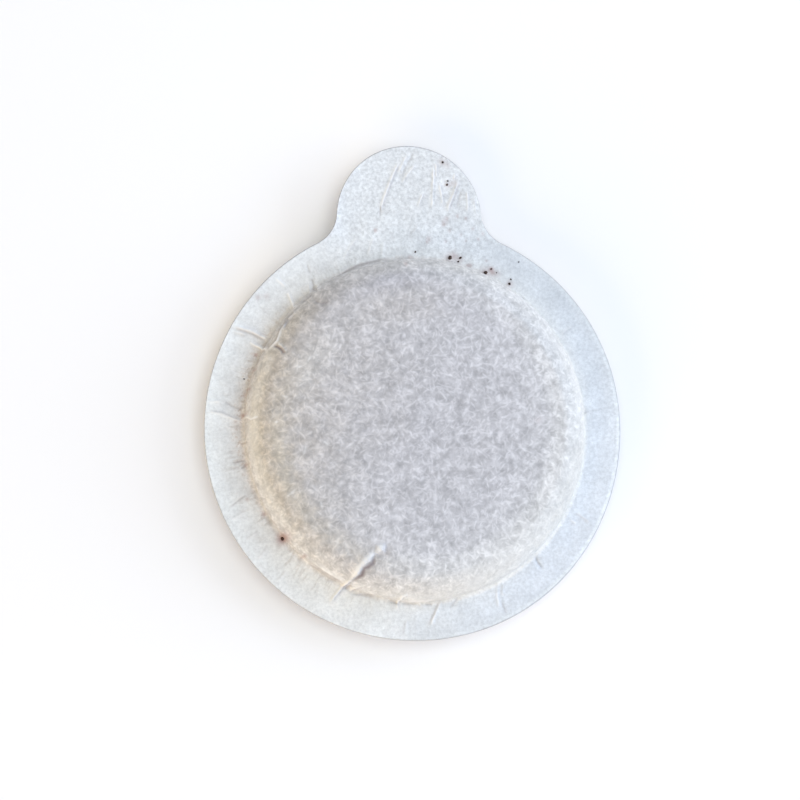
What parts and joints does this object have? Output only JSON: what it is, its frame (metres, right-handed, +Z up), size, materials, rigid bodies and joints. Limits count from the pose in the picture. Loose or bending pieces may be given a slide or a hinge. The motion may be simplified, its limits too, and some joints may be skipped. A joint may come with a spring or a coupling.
{
  "type": "coffee pod",
  "caption": "Paper espresso coffee pod: a pressed cake of ground coffee sealed between filter papers, with a flat ring seal round it and a rounded pull tab.",
  "frame": {"origin": "on the axis of the coffee cake, on the flat underside that the pod lies on", "axes": "+Z up along the cake's axis towards the drawn paper, +Y from the cake towards the pull tab"},
  "size_m": [0.055, 0.0651, 0.0098],
  "materials": {
    "drawn_paper": "matt, fibrous",
    "cover_paper": "matt, fibrous",
    "ground_coffee": "matt, granular"
  },
  "bodies": {
    "root": {"upper_paper": "drawn_paper", "lower_paper": "cover_paper", "coffee_cake": "ground_coffee"}
  },
  "joints": []
}
